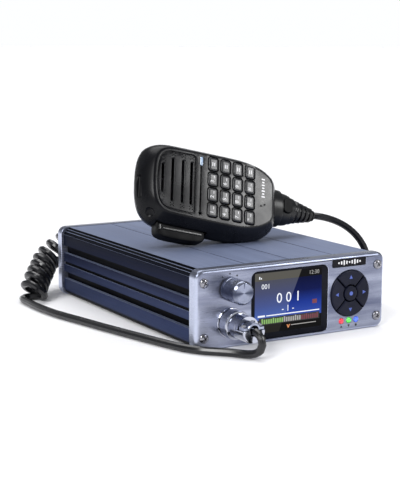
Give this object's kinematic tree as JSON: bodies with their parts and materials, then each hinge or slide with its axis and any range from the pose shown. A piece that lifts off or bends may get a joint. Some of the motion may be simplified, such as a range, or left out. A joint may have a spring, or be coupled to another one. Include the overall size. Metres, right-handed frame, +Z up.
{
  "type": "mobile transceiver",
  "caption": "Mobile two-way radio with a colour display, knob and key pad, and a keypad hand microphone on a curly cord lying on its top.",
  "frame": {"origin": "middle of the case's underside", "axes": "+X to the right seen from the front, +Y from the front panel to the rear, +Z up"},
  "size_m": [0.2232, 0.2672, 0.1181],
  "materials": {
    "slate_case": "satin anodised",
    "navy_case": "satin anodised",
    "silver_plate": "brushed",
    "display_glass": "polished",
    "screen": "lit",
    "badge": "gloss",
    "chrome": "polished",
    "steel": "satin",
    "circuit_board": "lacquered",
    "black_plastic": "matte",
    "lamp_red": "gloss",
    "lamp_green": "gloss",
    "lamp_blue": "gloss",
    "mic_plastic": "fine texture",
    "talk_rubber": "matte",
    "lamp_window": "gloss",
    "brass": "satin",
    "boot_rubber": "matte",
    "cord": "gloss",
    "pad_key": "satin",
    "mic_key": "satin"
  },
  "bodies": {
    "radio": {"case_upper_shell": "slate_case", "case_lower_shell": "navy_case", "front_panel": "silver_plate", "rear_panel": "silver_plate", "display_lens": "display_glass", "lcd_module": "screen", "badge_plate": "badge", "volume_control": "steel", "mic_socket": "chrome", "plug_shell": "chrome", "plug_cable_clamp": "steel", "front_board": "circuit_board", "main_board": "circuit_board", "antenna_socket": "chrome", "power_inlet": "black_plastic", "status_lamp_red": "lamp_red", "status_lamp_green": "lamp_green", "status_lamp_blue": "lamp_blue", "cord_plug_tail": "cord", "cord_coil": "cord", "front_screw_1": "steel", "rear_screw_1": "steel", "front_screw_2": "steel", "rear_screw_2": "steel", "front_screw_3": "steel", "rear_screw_3": "steel", "front_screw_4": "steel", "rear_screw_4": "steel"},
    "handset": {"mic_front_shell": "mic_plastic", "mic_back_shell": "mic_plastic", "mic_lamp_window": "lamp_window", "mic_speaker": "steel", "mic_board": "circuit_board", "hang_up_stud": "brass", "mic_boot": "boot_rubber", "cord_handset_tail": "cord"},
    "knob": {"volume_knob": "chrome"},
    "coupling_nut": {"plug_coupling_nut": "chrome"},
    "talk_button": {"talk_button": "talk_rubber"},
    "pad_key_up": {"pad_key_up": "pad_key"},
    "pad_key_left": {"pad_key_left": "pad_key"},
    "pad_key_down": {"pad_key_down": "pad_key"},
    "pad_key_right": {"pad_key_right": "pad_key"},
    "pad_key_centre": {"pad_key_centre": "pad_key"},
    "mic_key_one": {"mic_key_one": "mic_key"},
    "mic_key_two": {"mic_key_two": "mic_key"},
    "mic_key_three": {"mic_key_three": "mic_key"},
    "mic_key_a": {"mic_key_a": "mic_key"},
    "mic_key_four": {"mic_key_four": "mic_key"},
    "mic_key_five": {"mic_key_five": "mic_key"},
    "mic_key_six": {"mic_key_six": "mic_key"},
    "mic_key_b": {"mic_key_b": "mic_key"},
    "mic_key_seven": {"mic_key_seven": "mic_key"},
    "mic_key_eight": {"mic_key_eight": "mic_key"},
    "mic_key_nine": {"mic_key_nine": "mic_key"},
    "mic_key_c": {"mic_key_c": "mic_key"},
    "mic_key_star": {"mic_key_star": "mic_key"},
    "mic_key_zero": {"mic_key_zero": "mic_key"},
    "mic_key_hash": {"mic_key_hash": "mic_key"},
    "mic_key_d": {"mic_key_d": "mic_key"}
  },
  "joints": [
    {"name": "volume_turn", "type": "hinge", "parent": "radio", "child": "knob", "pos_m": [-0.0472, -0.102, 0.037], "axis": [0, -1, 0], "range_deg": [-150, 150]},
    {"name": "nut_turn", "type": "hinge", "parent": "radio", "child": "coupling_nut", "pos_m": [-0.047, -0.102, 0.016], "axis": [0, -1, 0], "range_deg": [0, 540]},
    {"name": "handset_lift", "type": "slide", "parent": "radio", "child": "handset", "axis": [0, 0, 1], "range_m": [0, 0.06]},
    {"name": "talk_press", "type": "slide", "parent": "handset", "child": "talk_button", "axis": [0.2554, 0.3932, 0.8832], "range_m": [0, 0.002], "stiffness_N_per_m": 600},
    {"name": "pad_up_press", "type": "slide", "parent": "radio", "child": "pad_key_up", "axis": [0, 1, 0], "range_m": [0, 0.0008], "stiffness_N_per_m": 400},
    {"name": "pad_left_press", "type": "slide", "parent": "radio", "child": "pad_key_left", "axis": [0, 1, 0], "range_m": [0, 0.0008], "stiffness_N_per_m": 400},
    {"name": "pad_down_press", "type": "slide", "parent": "radio", "child": "pad_key_down", "axis": [0, 1, 0], "range_m": [0, 0.0008], "stiffness_N_per_m": 400},
    {"name": "pad_right_press", "type": "slide", "parent": "radio", "child": "pad_key_right", "axis": [0, 1, 0], "range_m": [0, 0.0008], "stiffness_N_per_m": 400},
    {"name": "pad_centre_press", "type": "slide", "parent": "radio", "child": "pad_key_centre", "axis": [0, 1, 0], "range_m": [0, 0.0008], "stiffness_N_per_m": 400},
    {"name": "key_one_press", "type": "slide", "parent": "handset", "child": "mic_key_one", "axis": [0, 0.9135, -0.4067], "range_m": [0, 0.0008], "stiffness_N_per_m": 400},
    {"name": "key_two_press", "type": "slide", "parent": "handset", "child": "mic_key_two", "axis": [0, 0.9135, -0.4067], "range_m": [0, 0.0008], "stiffness_N_per_m": 400},
    {"name": "key_three_press", "type": "slide", "parent": "handset", "child": "mic_key_three", "axis": [0, 0.9135, -0.4067], "range_m": [0, 0.0008], "stiffness_N_per_m": 400},
    {"name": "key_a_press", "type": "slide", "parent": "handset", "child": "mic_key_a", "axis": [0, 0.9135, -0.4067], "range_m": [0, 0.0008], "stiffness_N_per_m": 400},
    {"name": "key_four_press", "type": "slide", "parent": "handset", "child": "mic_key_four", "axis": [0, 0.9135, -0.4067], "range_m": [0, 0.0008], "stiffness_N_per_m": 400},
    {"name": "key_five_press", "type": "slide", "parent": "handset", "child": "mic_key_five", "axis": [0, 0.9135, -0.4067], "range_m": [0, 0.0008], "stiffness_N_per_m": 400},
    {"name": "key_six_press", "type": "slide", "parent": "handset", "child": "mic_key_six", "axis": [0, 0.9135, -0.4067], "range_m": [0, 0.0008], "stiffness_N_per_m": 400},
    {"name": "key_b_press", "type": "slide", "parent": "handset", "child": "mic_key_b", "axis": [0, 0.9135, -0.4067], "range_m": [0, 0.0008], "stiffness_N_per_m": 400},
    {"name": "key_seven_press", "type": "slide", "parent": "handset", "child": "mic_key_seven", "axis": [0, 0.9135, -0.4067], "range_m": [0, 0.0008], "stiffness_N_per_m": 400},
    {"name": "key_eight_press", "type": "slide", "parent": "handset", "child": "mic_key_eight", "axis": [0, 0.9135, -0.4067], "range_m": [0, 0.0008], "stiffness_N_per_m": 400},
    {"name": "key_nine_press", "type": "slide", "parent": "handset", "child": "mic_key_nine", "axis": [0, 0.9135, -0.4067], "range_m": [0, 0.0008], "stiffness_N_per_m": 400},
    {"name": "key_c_press", "type": "slide", "parent": "handset", "child": "mic_key_c", "axis": [0, 0.9135, -0.4067], "range_m": [0, 0.0008], "stiffness_N_per_m": 400},
    {"name": "key_star_press", "type": "slide", "parent": "handset", "child": "mic_key_star", "axis": [0, 0.9135, -0.4067], "range_m": [0, 0.0008], "stiffness_N_per_m": 400},
    {"name": "key_zero_press", "type": "slide", "parent": "handset", "child": "mic_key_zero", "axis": [0, 0.9135, -0.4067], "range_m": [0, 0.0008], "stiffness_N_per_m": 400},
    {"name": "key_hash_press", "type": "slide", "parent": "handset", "child": "mic_key_hash", "axis": [0, 0.9135, -0.4067], "range_m": [0, 0.0008], "stiffness_N_per_m": 400},
    {"name": "key_d_press", "type": "slide", "parent": "handset", "child": "mic_key_d", "axis": [0, 0.9135, -0.4067], "range_m": [0, 0.0008], "stiffness_N_per_m": 400}
  ]
}
